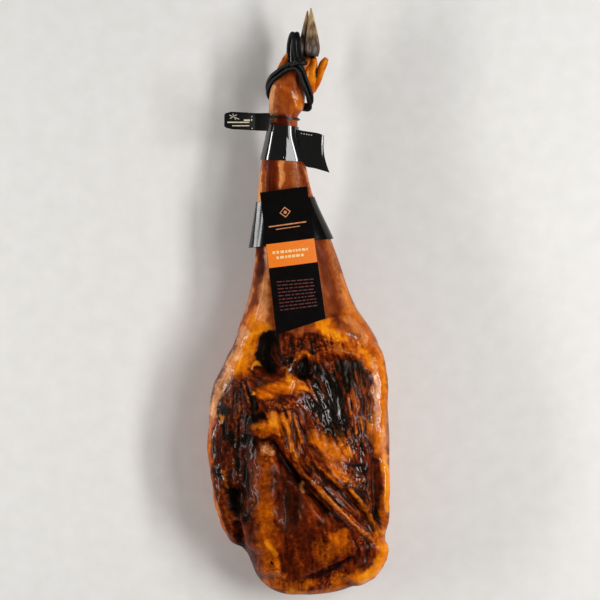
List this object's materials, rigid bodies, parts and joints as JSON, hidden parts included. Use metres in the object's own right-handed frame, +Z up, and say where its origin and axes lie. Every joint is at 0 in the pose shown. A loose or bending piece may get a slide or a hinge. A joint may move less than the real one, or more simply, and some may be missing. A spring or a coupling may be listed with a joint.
{
  "type": "cured ham",
  "caption": "Whole cured ham lying on its rind with the meat side up, with its hoof, a doubled cord, a seal tag, a shank band, a card collar and a long label.",
  "frame": {"origin": "on the floor, under the middle of the box round the whole piece", "axes": "+Z up out of the meat side, +Y along the leg towards the hoof, +X to the right seen from above with the hoof at the top"},
  "size_m": [0.2651, 0.854, 0.1379],
  "materials": {
    "cured_meat": "oily, wrinkled, orange brown fat over dark dried lean meat",
    "horn": "streaked horn",
    "black_cord": "twisted",
    "black_plastic": "satin",
    "shiny_band": "high gloss",
    "black_card": "smooth printed card with an orange field"
  },
  "bodies": {
    "root": {"ham": "cured_meat", "claw_left": "horn", "claw_right": "horn", "hanging_cord": "black_cord", "seal_strap": "black_plastic", "shank_band": "shiny_band", "label_collar": "black_card", "label_card": "black_card"}
  },
  "joints": []
}
